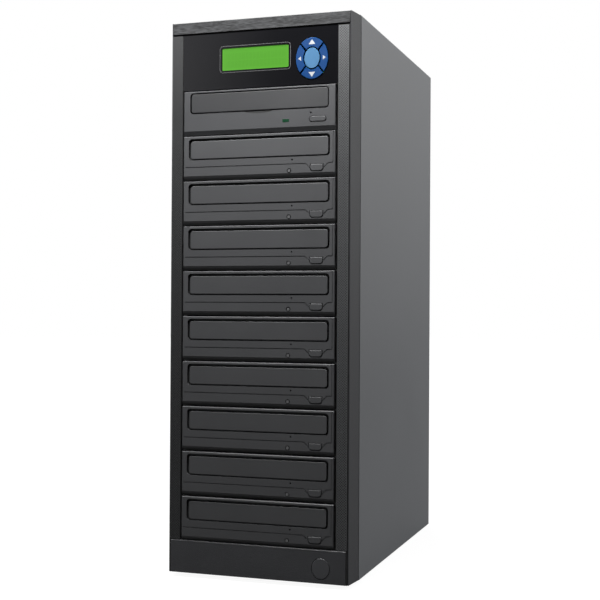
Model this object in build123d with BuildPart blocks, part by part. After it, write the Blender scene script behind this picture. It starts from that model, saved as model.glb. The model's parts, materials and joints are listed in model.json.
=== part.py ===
from build123d import *
from math import cos, radians, sin
import os

# A free-standing tower that copies discs: one reader above nine writers in a steel case, with a display
# and a five-key pad over them. X runs across the front, the front looks along -Y and Z is up. The origin
# is on the floor under the middle of the overall box. Every length is in millimetres.

# --- disc drives and their stack ---
drive_count = 10
bay_pitch = 42.3
bezel_width = 149.4
bezel_height = 41.1
bezel_depth = 6.5
drive_proud = 1.5
shell_width = 146.0
shell_height = 41.2
shell_depth = 165.0
shell_wall = 0.9
drive_room = 28.0
drive_clearance = 0.3

# --- front face, from the floor up ---
foot_height = 3.2
foot_diameter = 14.0
foot_inset = 16.0
cover_floor_gap = 2.0
chin_rise = 2.2
bottom_bar_height = 30.7
panel_height = 52.3
top_strip_height = 10.9
top_strip_gap = 1.8
brow_rise = 3.0
cover_step = 1.1
face_seam = 0.5

# --- front face, across ---
slot_gap = 1.9
strip_width = 10.6
strip_rim = 1.2
rim_seam = 0.4
bar_end_margin = 1.2
cover_proud = 0.3

# --- depths ---
frame_depth = 34.0
rim_setback = 1.0
trim_thickness = 3.2
trim_proud = 0.4
top_strip_lean = 2.0
web_thickness = 3.0
frame_wall = 2.5
cover_joint = 0.6
edge_radius = 0.5

# --- sheet steel chassis and cover ---
sheet = 1.0
sheet_clearance = 0.3
cover_bend = 2.0
cover_flange = 12.0
base_flange_height = 14.0
cage_flange = 9.0
cage_overlap = 6.0
cage_leg_setback = 6.0
cage_tail = 6.0

# --- cover's thumb screws ---
thumb_head_diameter = 10.0
thumb_head = 4.5
thumb_shank_diameter = 3.4
thumb_shank = 8.0
thumb_hole_clearance = 0.5
thumb_rows = 3
thumb_end_margin = 52.0

# --- tray opening of a drive, and its door ---
opening_width = 139.4
opening_height = 20.2
opening_top_margin = 2.2
opening_corner = 3.4
opening_depth = 3.2
door_width = 135.6
door_height = 16.8
door_drop = 2.3
door_corner = 2.6
door_thickness = 3.0
door_setback = 0.7
door_clearance = 0.4
door_seam = 0.1
reader_door_width = 135.2
reader_door_height = 18.2
reader_door_crown = 0.9
reader_door_clearance = 0.8
scoop_width = 29.5
scoop_height = 2.9
scoop_depth = 1.0

# --- tray behind the door ---
tray_width = 130.0
tray_length = 154.0
tray_thickness = 6.0
tray_rise = 1.2
disc_well_diameter = 121.0
disc_well_depth = 1.7
small_well_diameter = 81.0
small_well_depth = 1.2
well_margin = 6.0
spindle_slot_width = 34.0
spindle_slot_front = 17.0

# --- deck, spindle and laser sled inside a drive ---
deck_height = 8.0
deck_thickness = 2.5
deck_rail_width = 5.0
deck_clearance = 0.3
tray_support_width = 3.0
motor_diameter = 27.0
motor_height = 5.0
turntable_diameter = 26.0
turntable_height = 1.6
spindle_hub_diameter = 14.8
sled_width = 30.0
sled_length = 26.0
sled_height = 7.0
sled_distance = 40.0

# --- writer's front controls ---
writer_button_x = 57.0
writer_button_z = 8.2
writer_button_width = 12.2
writer_button_height = 5.8
writer_button_corner = 2.8
writer_button_top_corner = 0.6
button_proud = 0.6
button_clearance = 0.5
button_lip = 1.0
button_lip_thickness = 1.2
button_lip_gap = 0.2
button_travel = 1.0
writer_lens_x = 30.4
writer_lens_z = 6.0
writer_lens_diameter = 2.8
lens_ring = 0.8
lens_ring_depth = 1.6
lens_clearance = 0.05
lens_proud = 0.2
writer_pinhole_x = 33.3
reader_pinhole_x = 51.1
pinhole_z = 16.2
pinhole_diameter = 1.6
groove_width = 0.8
groove_depth = 0.6
groove_z = 12.1
groove_side_margin = 2.0
bezel_chin = 3.8
bezel_chin_depth = 2.4
bezel_chamfer = 0.6

# --- reader's front controls ---
reader_button_x = 57.7
reader_button_z = 10.2
reader_button_width = 15.8
reader_button_height = 4.6
reader_lens_x = 27.0
reader_lens_z = 9.8
reader_lens_width = 6.4
reader_lens_height = 2.6

# --- control panel ---
panel_gap = 0.3
panel_setback = 0.3
panel_thickness = 3.0
display_x = -4.2
display_z = 27.6
display_width = 66.0
display_height = 20.9
display_corner = 1.2
display_setback = 0.8
module_margin = 6.0
module_thickness = 5.0
key_board_gap = 9.0
board_thickness = 1.6
board_margin = 3.0
boss_diameter = 6.0
boss_inset = 6.0
keypad_x = 51.6
keypad_z = 23.6
keypad_width = 31.8
keypad_height = 39.0
centre_key_width = 14.6
centre_key_height = 18.8
key_gap = 1.1
key_proud = 0.9
key_travel = 0.7
key_thickness = 4.0
key_bevel = 0.3
key_stem_diameter = 3.0
key_stem_gap = 0.2

# --- power button and its switch ---
power_button_x = 62.4
power_button_z = 13.6
power_button_width = 16.8
power_button_height = 18.8
power_button_gap = 0.4
power_button_proud = 0.2
power_travel = 2.0
power_stem_diameter = 6.4
power_stem_clearance = 0.3
power_switch_size = 16.0
power_switch_depth = 14.0

# --- controller ---
shelf_drop = 1.0
controller_width = 138.0
controller_depth = 120.0
controller_setback = 26.0
standoff_height = 5.0
standoff_diameter = 5.0
chip_size = 24.0
chip_height = 3.0
port_block_width = 14.0
port_block_depth = 12.0

# --- data cables and power loom ---
data_cable_x = 30.0
data_cable_width = 8.0
data_cable_thickness = 1.0
data_cable_pitch = 1.6
data_cable_clearance = 3.0
data_cable_bend = 1.2
connector_height = 10.0
loom_x = -35.0
loom_width = 12.0
loom_thickness = 4.0
loom_branch_height = 4.0
loom_offset = 8.0

# --- power supply, mains socket and mains switch ---
psu_width = 150.0
psu_fan_room = 2.0
psu_depth = 140.0
psu_window_margin = 3.0
socket_x = 42.0
socket_z = 58.0
socket_flange_width = 31.0
socket_flange_height = 24.0
socket_flange_thickness = 1.5
socket_body_width = 27.0
socket_body_height = 19.6
socket_body_depth = 20.0
socket_width = 24.0
socket_height = 16.4
socket_corner = 4.5
socket_depth = 16.5
socket_pin_pitch = 14.0
socket_pin_width = 2.0
socket_pin_height = 4.0
socket_pin_length = 14.5
socket_terminal = 12.0
socket_earth_rise = 4.0
socket_pin_line = -2.0
rocker_x = 42.0
rocker_z = 26.0
rocker_width = 11.6
rocker_length = 17.6
rocker_depth = 7.0
rocker_angle = 7.0
rocker_clearance = 0.5
switch_wall = 1.6
switch_flange = 1.4
switch_flange_thickness = 1.2
switch_body_depth = 14.0

# --- fans ---
fan_size = 80.0
fan_thickness = 25.0
fan_bore = 76.0
fan_screw_pitch = 71.5
fan_screw_diameter = 4.3
fan_hub_diameter = 34.0
fan_hub_cap = 2.0
fan_motor_diameter = 30.0
fan_motor_depth = 4.0
fan_arm_width = 5.0
fan_shaft_diameter = 3.0
fan_shaft_clearance = 0.05
fan_blade_count = 7
fan_blade_chord = 24.0
fan_blade_thickness = 1.4
fan_blade_pitch = 38.0
fan_tip_clearance = 1.5
psu_fan_x = -29.0
rear_fan_count = 2
guard_wire = 1.6
guard_rings = (12.0, 22.0, 32.0)
guard_eyelet_diameter = 8.0
fan_screw_head_diameter = 7.0
fan_screw_head = 2.0
fan_screw_length = 12.0

# --- drive screws ---
drive_screw_head_diameter = 5.6
drive_screw_head = 1.8
drive_screw_diameter = 3.0
drive_screw_length = 5.0
drive_screw_clearance = 0.3
drive_screw_z = 10.0
drive_screw_front = 48.0
drive_screw_back = 127.0

# --- places that follow from the sizes above ---
psu_height = fan_size + 2 * (sheet + psu_fan_room)
body_depth = bezel_depth - drive_proud + shell_depth + drive_room + psu_depth + 2 * sheet
overall_depth = button_proud + drive_proud + body_depth + thumb_head
bezel_y = button_proud - overall_depth / 2
face_y = bezel_y + drive_proud
back_y = face_y + body_depth
bezel_back_y = bezel_y + bezel_depth
rim_y = face_y + rim_setback
web_front_y = face_y + trim_thickness
web_back_y = web_front_y + web_thickness
frame_back_y = face_y + frame_depth
cover_front_y = frame_back_y + cover_joint
rear_panel_y = back_y - 2 * sheet

frame_width = bezel_width + 2 * (slot_gap + strip_width + strip_rim)
cover_width = frame_width + 2 * cover_proud
inside_width = cover_width - 2 * sheet
opening_half = bezel_width / 2 + slot_gap
strip_outer = frame_width / 2 - strip_rim

face_bottom = cover_floor_gap + chin_rise
bar_top = face_bottom + bottom_bar_height
stack_bottom = bar_top + face_seam
panel_bottom = stack_bottom + drive_count * bay_pitch
panel_top = panel_bottom + panel_height
top_strip_bottom = panel_top + top_strip_gap
face_top = top_strip_bottom + top_strip_height
frame_top = face_top + brow_rise
cover_top = frame_top + cover_step
base_top = foot_height + sheet

row_heights = [stack_bottom + row * bay_pitch for row in range(drive_count)]
reader_row = row_heights[-1]
writer_rows = row_heights[-2::-1]
every_row = [(0, 0, row) for row in row_heights]

opening_middle = bezel_height - opening_top_margin - opening_height / 2
door_middle = bezel_height - opening_top_margin - door_drop - door_height / 2
reader_door_middle = bezel_height - opening_top_margin - reader_door_height / 2
door_y = bezel_y + door_setback
tray_y = door_y + door_thickness + door_seam
tray_bottom = door_middle - door_height / 2 + tray_rise
disc_centre_y = tray_y + well_margin + disc_well_diameter / 2
deck_top = deck_height + deck_thickness
spindle_top = tray_bottom - deck_clearance


def front_plane(y):
    """A sketch plane that faces the front at depth y: its x is X and its y is Z."""
    return Plane.XZ.offset(-y)


def up_plane(z):
    """A level sketch plane at height z."""
    return Plane.XY.offset(z)


# --- front frame: a moulded ring with flanks, and a web that carries the front trim ---
with BuildPart() as front_frame:
    with BuildSketch(Plane.YZ):
        Polygon(
            (rim_y, face_bottom),
            (frame_back_y, cover_floor_gap),
            (frame_back_y, frame_top),
            (rim_y, face_top),
            align=None,
        )
    extrude(amount=frame_width / 2, both=True)
    front_edges = front_frame.edges().filter_by(Axis.Z).group_by(Axis.Y)[0]
    fillet(front_edges, edge_radius)
    with BuildSketch(front_plane(frame_back_y)):
        with Locations((0, (face_bottom + face_top) / 2)):
            Rectangle(frame_width - 2 * frame_wall, face_top - face_bottom - 2 * frame_wall)
    extrude(amount=frame_depth - trim_thickness - web_thickness, mode=Mode.SUBTRACT)
    with BuildSketch(front_plane(web_front_y)):
        with Locations((0, (face_bottom + face_top) / 2)):
            Rectangle(2 * (strip_outer + rim_seam), 2 * face_top)
    extrude(amount=trim_thickness, mode=Mode.SUBTRACT)
    with BuildSketch(front_plane(web_back_y)):
        with Locations((0, (stack_bottom + panel_top) / 2)):
            Rectangle(2 * opening_half, panel_top - stack_bottom + 2 * panel_gap)
        with Locations((power_button_x, face_bottom + power_button_z)):
            Circle(power_stem_diameter / 2 + power_stem_clearance)
    extrude(amount=web_thickness, mode=Mode.SUBTRACT)
front_frame.part.label = "front_frame"
pieces = [front_frame.part]

# --- meshed side strips, with a narrow rail beside the bottom bar ---
strip_bottom = bar_top + face_seam / 2
rail_width = bar_end_margin - rim_seam
with BuildPart() as mesh_strips:
    with BuildSketch(front_plane(face_y)):
        for side in (-1, 1):
            with Locations((side * (strip_outer - strip_width / 2), (strip_bottom + panel_top) / 2)):
                Rectangle(strip_width, panel_top - strip_bottom)
            with Locations((side * (strip_outer - rail_width / 2), (face_bottom + strip_bottom) / 2)):
                Rectangle(rail_width, strip_bottom - face_bottom)
    extrude(amount=-trim_thickness)
    outer_edges = mesh_strips.edges().filter_by(Axis.Z).group_by(Axis.Y)[0].group_by(Axis.X)
    fillet(outer_edges[0] + outer_edges[-1], edge_radius)
mesh_strips.part.label = "mesh_strips"
pieces.append(mesh_strips.part)

# --- top strip over the whole width, leaning back from its proud lower edge ---
with BuildPart() as top_strip:
    with BuildSketch(Plane.YZ):
        Polygon(
            (face_y - trim_proud, top_strip_bottom),
            (web_front_y, top_strip_bottom),
            (web_front_y, face_top),
            (face_y - trim_proud + top_strip_lean, face_top),
            align=None,
        )
    extrude(amount=strip_outer, both=True)
    fillet(top_strip.edges().filter_by(Axis.X).group_by(Axis.Z)[-1].sort_by(Axis.Y)[0], edge_radius)
top_strip.part.label = "top_strip"
pieces.append(top_strip.part)

# --- bottom bar with the power button's hole ---
with BuildPart() as bottom_bar:
    with BuildSketch(Plane.YZ):
        with Locations(((face_y - trim_proud + web_front_y) / 2, (face_bottom + bar_top) / 2)):
            Rectangle(trim_thickness + trim_proud, bottom_bar_height)
    extrude(amount=strip_outer - bar_end_margin, both=True)
    chamfer(bottom_bar.edges().filter_by(Axis.X).group_by(Axis.Y)[0], bezel_chamfer)
    with BuildSketch(front_plane(web_front_y)):
        with Locations((power_button_x, face_bottom + power_button_z)):
            Ellipse(power_button_width / 2 + power_button_gap, power_button_height / 2 + power_button_gap)
    extrude(amount=trim_thickness + trim_proud, mode=Mode.SUBTRACT)
bottom_bar.part.label = "bottom_bar"
pieces.append(bottom_bar.part)

# --- power button: an oval cap in the bar, with a stem through the web into its switch ---
power_face_y = face_y - trim_proud - power_button_proud
power_cap_back_y = web_front_y - power_travel - power_stem_clearance
with BuildPart() as power_button:
    with BuildSketch(front_plane(power_face_y)):
        with Locations((power_button_x, face_bottom + power_button_z)):
            Ellipse(power_button_width / 2, power_button_height / 2)
    extrude(amount=power_face_y - power_cap_back_y)
    chamfer(power_button.edges().group_by(Axis.Y)[0], power_button_gap)
    with BuildSketch(front_plane(power_cap_back_y)):
        with Locations((power_button_x, face_bottom + power_button_z)):
            Circle(power_stem_diameter / 2)
    extrude(amount=power_cap_back_y - web_back_y - power_stem_diameter)
power_button.part.label = "power_button"
pieces.append(power_button.part)

# --- switch behind the web, with a well that takes the button's stem ---
with BuildPart() as power_switch:
    with BuildSketch(front_plane(web_back_y)):
        with Locations((power_button_x, face_bottom + power_button_z)):
            Rectangle(power_switch_size, power_switch_size)
            Circle(power_stem_diameter / 2 + power_stem_clearance, mode=Mode.SUBTRACT)
    extrude(amount=-power_switch_depth)
power_switch.part.label = "power_switch"
pieces.append(power_switch.part)

# --- control panel: a glossy plate with the display's window, the keypad's hole and four bosses ---
panel_y = face_y + panel_setback
panel_back_y = panel_y + panel_thickness
key_board_y = panel_back_y + key_board_gap
panel_middle = (panel_bottom + panel_top) / 2
keypad_centre = (keypad_x, panel_bottom + keypad_z)
display_centre = (display_x, panel_bottom + display_z)
cage_x = shell_width / 2 + drive_clearance
boss_places = [
    (side * (cage_x - boss_inset), panel_middle + level * (panel_height / 2 - boss_inset))
    for side in (-1, 1)
    for level in (-1, 1)
]
with BuildPart() as control_panel:
    with BuildSketch(front_plane(panel_y)):
        with Locations((0, panel_middle)):
            Rectangle(2 * (opening_half - panel_gap), panel_height)
        with Locations(display_centre):
            RectangleRounded(display_width, display_height, display_corner, mode=Mode.SUBTRACT)
        with Locations(keypad_centre):
            Ellipse(keypad_width / 2, keypad_height / 2, mode=Mode.SUBTRACT)
    extrude(amount=-panel_thickness)
    with BuildSketch(front_plane(panel_back_y)):
        with Locations(*boss_places):
            Circle(boss_diameter / 2)
    extrude(amount=-key_board_gap)
control_panel.part.label = "control_panel"
pieces.append(control_panel.part)

# --- display module: its glass stands in the window, its body behind the panel ---
with BuildPart() as display_module:
    with BuildSketch(front_plane(panel_y + display_setback)):
        with Locations(display_centre):
            RectangleRounded(
                display_width - 2 * panel_gap, display_height - 2 * panel_gap, display_corner - panel_gap
            )
    extrude(amount=-(panel_thickness - display_setback))
    with BuildSketch(front_plane(panel_back_y)):
        with Locations(display_centre):
            Rectangle(display_width + 2 * module_margin, display_height + 2 * module_margin)
    extrude(amount=-module_thickness)
display_module.part.label = "display_module"
pieces.append(display_module.part)

# --- board behind the panel, against its bosses ---
with BuildPart() as key_board:
    with BuildSketch(front_plane(key_board_y)):
        with Locations((0, panel_middle)):
            Rectangle(2 * (cage_x - board_margin), panel_height - 2 * board_margin)
    extrude(amount=-board_thickness)
    with BuildSketch(front_plane(key_board_y)):
        with Locations(display_centre):
            Rectangle(display_width, display_height)
    extrude(amount=key_board_gap - module_thickness)
key_board.part.label = "key_board"
pieces.append(key_board.part)

# --- five keys: four arms of a ring round an oval centre key, each with a stem to the board ---
key_face_y = panel_y - key_proud
key_stem_end_y = key_board_y - key_travel - key_stem_gap
key_ring_width = (keypad_width + centre_key_width) / 4 + key_gap / 2
key_ring_height = (keypad_height + centre_key_height) / 4 + key_gap / 2
key_arms = {
    "key_up": (0, 1),
    "key_down": (0, -1),
    "key_left": (-1, 0),
    "key_right": (1, 0),
}
for key_name, (across, upward) in key_arms.items():
    with BuildPart() as arm_key:
        with BuildSketch(front_plane(key_face_y)):
            with Locations(keypad_centre):
                Ellipse(keypad_width / 2 - key_gap / 2, keypad_height / 2 - key_gap / 2)
                Ellipse(
                    centre_key_width / 2 + key_gap, centre_key_height / 2 + key_gap, mode=Mode.SUBTRACT
                )
            corner = (keypad_x + across * key_gap, keypad_centre[1] + upward * key_gap)
            reach_x = keypad_width
            reach_z = keypad_height
            far_corners = [
                (corner[0] + (across or side) * reach_x, corner[1] + (upward or side) * reach_z)
                for side in (-1, 1)
            ]
            Polygon(corner, *far_corners, align=None, mode=Mode.INTERSECT)
        extrude(amount=-key_thickness)
        chamfer(arm_key.edges().group_by(Axis.Y)[0], key_bevel)
        with BuildSketch(front_plane(key_face_y + key_thickness)):
            with Locations((keypad_x + across * key_ring_width, keypad_centre[1] + upward * key_ring_height)):
                Circle(key_stem_diameter / 2)
        extrude(amount=key_face_y + key_thickness - key_stem_end_y)
    arm_key.part.label = key_name
    pieces.append(arm_key.part)

with BuildPart() as key_centre:
    with BuildSketch(front_plane(key_face_y)):
        with Locations(keypad_centre):
            Ellipse(centre_key_width / 2, centre_key_height / 2)
    extrude(amount=-key_thickness)
    chamfer(key_centre.edges().group_by(Axis.Y)[0], key_bevel)
    with BuildSketch(front_plane(key_face_y + key_thickness)):
        with Locations(keypad_centre):
            Circle(key_stem_diameter / 2)
    extrude(amount=key_face_y + key_thickness - key_stem_end_y)
key_centre.part.label = "key_centre"
pieces.append(key_centre.part)


# --- drive bezels, drawn for a drive whose lower edge is at height 0 ---
def bezel_body():
    """A bezel's plate: a chamfered top edge, and a chin that slopes back under the flat face."""
    with BuildPart() as body:
        with BuildSketch(Plane.YZ):
            Polygon(
                (bezel_y + bezel_chin_depth, 0),
                (bezel_back_y, 0),
                (bezel_back_y, bezel_height),
                (bezel_y + bezel_chamfer, bezel_height),
                (bezel_y, bezel_height - bezel_chamfer),
                (bezel_y, bezel_chin),
                align=None,
            )
        extrude(amount=bezel_width / 2, both=True)
        side_edges = body.edges().filter_by(Axis.Z).group_by(Axis.Y)[0]
        chamfer(side_edges, bezel_chamfer)
    return body.part


with BuildPart() as writer_bezel:
    add(bezel_body())
    with BuildSketch(front_plane(bezel_y)):
        with Locations((0, opening_middle)):
            RectangleRounded(opening_width, opening_height, opening_corner)
    extrude(amount=-opening_depth, mode=Mode.SUBTRACT)
    with BuildSketch(front_plane(bezel_y)):
        with Locations((0, door_middle)):
            RectangleRounded(
                door_width + 2 * door_clearance,
                door_height + 2 * door_clearance,
                door_corner + door_clearance,
            )
        with Locations((writer_lens_x, writer_lens_z)):
            Circle(writer_lens_diameter / 2 + lens_clearance)
        with Locations((writer_pinhole_x, pinhole_z)):
            Circle(pinhole_diameter / 2)
    extrude(amount=-bezel_depth, mode=Mode.SUBTRACT)
    with BuildSketch(front_plane(bezel_y)):
        with Locations((writer_lens_x, writer_lens_z)):
            Circle(writer_lens_diameter / 2 + lens_ring)
    extrude(amount=-lens_ring_depth, mode=Mode.SUBTRACT)
    with BuildSketch(front_plane(bezel_y)) as button_hole:
        with Locations((writer_button_x, writer_button_z)):
            Rectangle(writer_button_width + 2 * button_clearance, writer_button_height + 2 * button_clearance)
        fillet(button_hole.vertices().group_by(Axis.Y)[0], writer_button_corner)
    extrude(amount=-bezel_depth, mode=Mode.SUBTRACT)
    # The groove runs in from the left, dips round the button, rises again and turns up the right side.
    groove_left = -bezel_width / 2 + groove_side_margin
    groove_right = bezel_width / 2 - groove_side_margin
    dip_left = writer_button_x - writer_button_width / 2 - groove_width
    dip_right = writer_button_x + writer_button_width / 2 + groove_width
    dip = groove_z - writer_button_z
    with BuildSketch(front_plane(bezel_y)):
        with BuildLine():
            FilletPolyline(
                (groove_left, groove_z),
                (dip_left - dip, groove_z),
                (dip_left, writer_button_z),
                radius=2 * groove_width,
            )
        trace(line_width=groove_width)
        with BuildLine():
            FilletPolyline(
                (dip_right, writer_button_z),
                (dip_right + dip, groove_z),
                (groove_right, groove_z),
                (groove_right, bezel_height - bezel_chamfer),
                radius=2 * groove_width,
            )
        trace(line_width=groove_width)
    extrude(amount=-groove_depth, mode=Mode.SUBTRACT)

with BuildPart() as writer_bezels:
    with Locations(*[(0, 0, row) for row in writer_rows]):
        add(writer_bezel.part)
writer_bezels.part.label = "writer_bezels"
pieces.append(writer_bezels.part)

with BuildPart() as reader_bezel:
    with Locations((0, 0, reader_row)):
        add(bezel_body())
    with BuildSketch(front_plane(bezel_y)):
        with Locations((0, reader_row + reader_door_middle)):
            RectangleRounded(
                reader_door_width + 2 * reader_door_clearance,
                reader_door_height + 2 * reader_door_clearance,
                door_corner + reader_door_clearance,
            )
        with Locations((reader_lens_x, reader_row + reader_lens_z)):
            Rectangle(reader_lens_width + 2 * lens_clearance, reader_lens_height + 2 * lens_clearance)
        with Locations((reader_pinhole_x, reader_row + pinhole_z)):
            Circle(pinhole_diameter / 2)
        with Locations((reader_button_x, reader_row + reader_button_z)):
            SlotOverall(
                reader_button_width + 2 * button_clearance, reader_button_height + 2 * button_clearance
            )
    extrude(amount=-bezel_depth, mode=Mode.SUBTRACT)
    with BuildSketch(front_plane(bezel_y)):
        with Locations((0, reader_row + reader_door_middle - reader_door_height / 2)):
            Ellipse(scoop_width / 2, scoop_height)
    extrude(amount=-scoop_depth, mode=Mode.SUBTRACT)
reader_bezel.part.label = "reader_bezel"
pieces.append(reader_bezel.part)


# --- tray: a door, and behind it a plate with wells for both sizes of disc and the spindle's slot ---
def tray_plate():
    """The plate behind the door, at height 0."""
    with BuildPart() as plate:
        with BuildSketch(up_plane(tray_bottom)):
            with Locations((0, tray_y + tray_length / 2)):
                RectangleRounded(tray_width, tray_length, door_corner)
        extrude(amount=tray_thickness)
        with BuildSketch(up_plane(tray_bottom + tray_thickness)):
            with Locations((0, disc_centre_y)):
                Circle(disc_well_diameter / 2)
        extrude(amount=-disc_well_depth, mode=Mode.SUBTRACT)
        with BuildSketch(up_plane(tray_bottom + tray_thickness - disc_well_depth)):
            with Locations((0, disc_centre_y)):
                Circle(small_well_diameter / 2)
        extrude(amount=-small_well_depth, mode=Mode.SUBTRACT)
        slot_back_y = disc_centre_y + small_well_diameter / 2
        with BuildSketch(up_plane(tray_bottom)):
            with Locations((0, (disc_centre_y - spindle_slot_front + slot_back_y) / 2)):
                SlotOverall(slot_back_y - disc_centre_y + spindle_slot_front, spindle_slot_width, rotation=90)
        extrude(amount=tray_thickness, mode=Mode.SUBTRACT)
    return plate.part


def writer_door():
    """The writer's flat door with softened front edges, at height 0."""
    with BuildPart() as door:
        with BuildSketch(front_plane(door_y)):
            with Locations((0, door_middle)):
                RectangleRounded(door_width, door_height, door_corner)
        extrude(amount=-door_thickness)
        fillet(door.edges().group_by(Axis.Y)[0], bezel_chamfer)
    return door.part


def reader_door():
    """The reader's door with rounder front edges, at height 0."""
    with BuildPart() as door:
        with BuildSketch(front_plane(door_y)):
            with Locations((0, reader_door_middle)):
                RectangleRounded(reader_door_width, reader_door_height, door_corner)
        extrude(amount=-door_thickness)
        fillet(door.edges().group_by(Axis.Y)[0], reader_door_crown)
    return door.part


with BuildPart() as reader_tray:
    with Locations((0, 0, reader_row)):
        add(reader_door())
        add(tray_plate())
reader_tray.part.label = "reader_tray"
pieces.append(reader_tray.part)


# --- eject buttons: a cap in the bezel, with a lip behind it that keeps it in ---
def eject_button(outline, height):
    """A button of this outline, whose bezel's lower edge is at this height."""
    lip_y = bezel_back_y + button_lip_gap
    with BuildPart() as button:
        with BuildSketch(front_plane(bezel_y - button_proud)):
            with Locations((0, height)):
                add(outline)
        extrude(amount=bezel_y - button_proud - lip_y)
        fillet(button.edges().group_by(Axis.Y)[0], button_clearance)
        with BuildSketch(front_plane(lip_y)):
            with Locations((0, height)):
                add(outline)
            offset(amount=button_lip)
        extrude(amount=-button_lip_thickness)
    return button.part


with BuildSketch() as writer_button_outline:
    with Locations((writer_button_x, writer_button_z)):
        Rectangle(writer_button_width, writer_button_height)
    fillet(writer_button_outline.vertices().group_by(Axis.Y)[0], writer_button_corner)
    fillet(writer_button_outline.vertices().group_by(Axis.Y)[-1], writer_button_top_corner)

with BuildSketch() as reader_button_outline:
    with Locations((reader_button_x, reader_button_z)):
        SlotOverall(reader_button_width, reader_button_height)

reader_eject = eject_button(reader_button_outline.sketch, reader_row)
reader_eject.label = "reader_eject_button"
pieces.append(reader_eject)

for number, row in enumerate(writer_rows, 1):
    with BuildPart() as writer_tray:
        with Locations((0, 0, row)):
            add(writer_door())
            add(tray_plate())
    writer_tray.part.label = f"writer_tray_{number}"
    pieces.append(writer_tray.part)
    writer_eject = eject_button(writer_button_outline.sketch, row)
    writer_eject.label = f"writer_eject_button_{number}"
    pieces.append(writer_eject)

# --- light pipes ---
with BuildPart() as status_lenses:
    with BuildSketch(front_plane(bezel_y - lens_proud)):
        with Locations(*[(writer_lens_x, row + writer_lens_z) for row in writer_rows]):
            Circle(writer_lens_diameter / 2)
        with Locations((reader_lens_x, reader_row + reader_lens_z)):
            Rectangle(reader_lens_width, reader_lens_height)
    extrude(amount=-(bezel_depth + lens_proud))
status_lenses.part.label = "status_lenses"
pieces.append(status_lenses.part)

# --- drive shells: a steel box behind each bezel, open at the front, with screw holes in its sides ---
screw_depths = [bezel_back_y + drive_screw_front, bezel_back_y + drive_screw_back]
with BuildPart() as drive_shell:
    with BuildSketch(front_plane(bezel_back_y)):
        with Locations((0, bezel_height / 2)):
            Rectangle(shell_width, shell_height)
    extrude(amount=-shell_depth)
    with BuildSketch(front_plane(bezel_back_y)):
        with Locations((0, bezel_height / 2)):
            Rectangle(shell_width - 2 * shell_wall, shell_height - 2 * shell_wall)
    extrude(amount=-(shell_depth - shell_wall), mode=Mode.SUBTRACT)
    with BuildSketch(Plane.YZ):
        with Locations(*[(depth, drive_screw_z) for depth in screw_depths]):
            Circle(drive_screw_diameter / 2 + lens_clearance)
    extrude(amount=shell_width / 2, both=True, mode=Mode.SUBTRACT)
with BuildPart() as drive_shells:
    with Locations(*every_row):
        add(drive_shell.part)
drive_shells.part.label = "drive_shells"
pieces.append(drive_shells.part)

# --- drive decks: a floor with side guides, and two ribs that the tray runs on ---
deck_width = shell_width - 2 * (shell_wall + deck_clearance)
deck_front_y = bezel_back_y + 2 * button_travel + button_lip_gap + button_lip_thickness
deck_back_y = bezel_back_y + shell_depth - shell_wall - deck_clearance
deck_middle_y = (deck_front_y + deck_back_y) / 2
shell_floor = (bezel_height - shell_height) / 2 + shell_wall
support_x = tray_width / 2 - 2 * tray_support_width
with BuildPart() as drive_deck:
    with BuildSketch(up_plane(deck_height)):
        with Locations((0, deck_middle_y)):
            Rectangle(deck_width, deck_back_y - deck_front_y)
    extrude(amount=deck_thickness)
    with BuildSketch(up_plane(shell_floor + deck_clearance)):
        with Locations((-deck_width / 2 + deck_rail_width / 2, deck_middle_y)):
            Rectangle(deck_rail_width, deck_back_y - deck_front_y)
        with Locations((deck_width / 2 - deck_rail_width / 2, deck_middle_y)):
            Rectangle(deck_rail_width, deck_back_y - deck_front_y)
    extrude(amount=tray_bottom + tray_thickness - shell_floor - deck_clearance)
    with BuildSketch(up_plane(deck_top)):
        with Locations((-support_x, deck_middle_y), (support_x, deck_middle_y)):
            Rectangle(tray_support_width, deck_back_y - deck_front_y)
    extrude(amount=tray_bottom - deck_clearance - deck_top)
    for side in (-1, 1):
        with BuildSketch(Plane.YZ.offset(side * deck_width / 2)):
            with Locations(*[(depth, drive_screw_z) for depth in screw_depths]):
                Circle(drive_screw_diameter / 2 + drive_screw_clearance)
        extrude(amount=-side * deck_rail_width, mode=Mode.SUBTRACT)
with BuildPart() as drive_decks:
    with Locations(*every_row):
        add(drive_deck.part)
drive_decks.part.label = "drive_decks"
pieces.append(drive_decks.part)

# --- optical units: a spindle motor with its turntable, and the laser sled behind it ---
with BuildPart() as optical_unit:
    with BuildSketch(up_plane(deck_top)):
        with Locations((0, disc_centre_y)):
            Circle(motor_diameter / 2)
    extrude(amount=motor_height)
    with BuildSketch(up_plane(deck_top + motor_height)):
        with Locations((0, disc_centre_y)):
            Circle(turntable_diameter / 2)
    extrude(amount=turntable_height)
    with BuildSketch(up_plane(deck_top + motor_height + turntable_height)):
        with Locations((0, disc_centre_y)):
            Circle(spindle_hub_diameter / 2)
    extrude(amount=spindle_top - deck_top - motor_height - turntable_height)
    with BuildSketch(up_plane(deck_top)):
        with Locations((0, disc_centre_y + sled_distance)):
            Rectangle(sled_width, sled_length)
    extrude(amount=sled_height)
with BuildPart() as optical_units:
    with Locations(*every_row):
        add(optical_unit.part)
optical_units.part.label = "optical_units"
pieces.append(optical_units.part)

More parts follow.
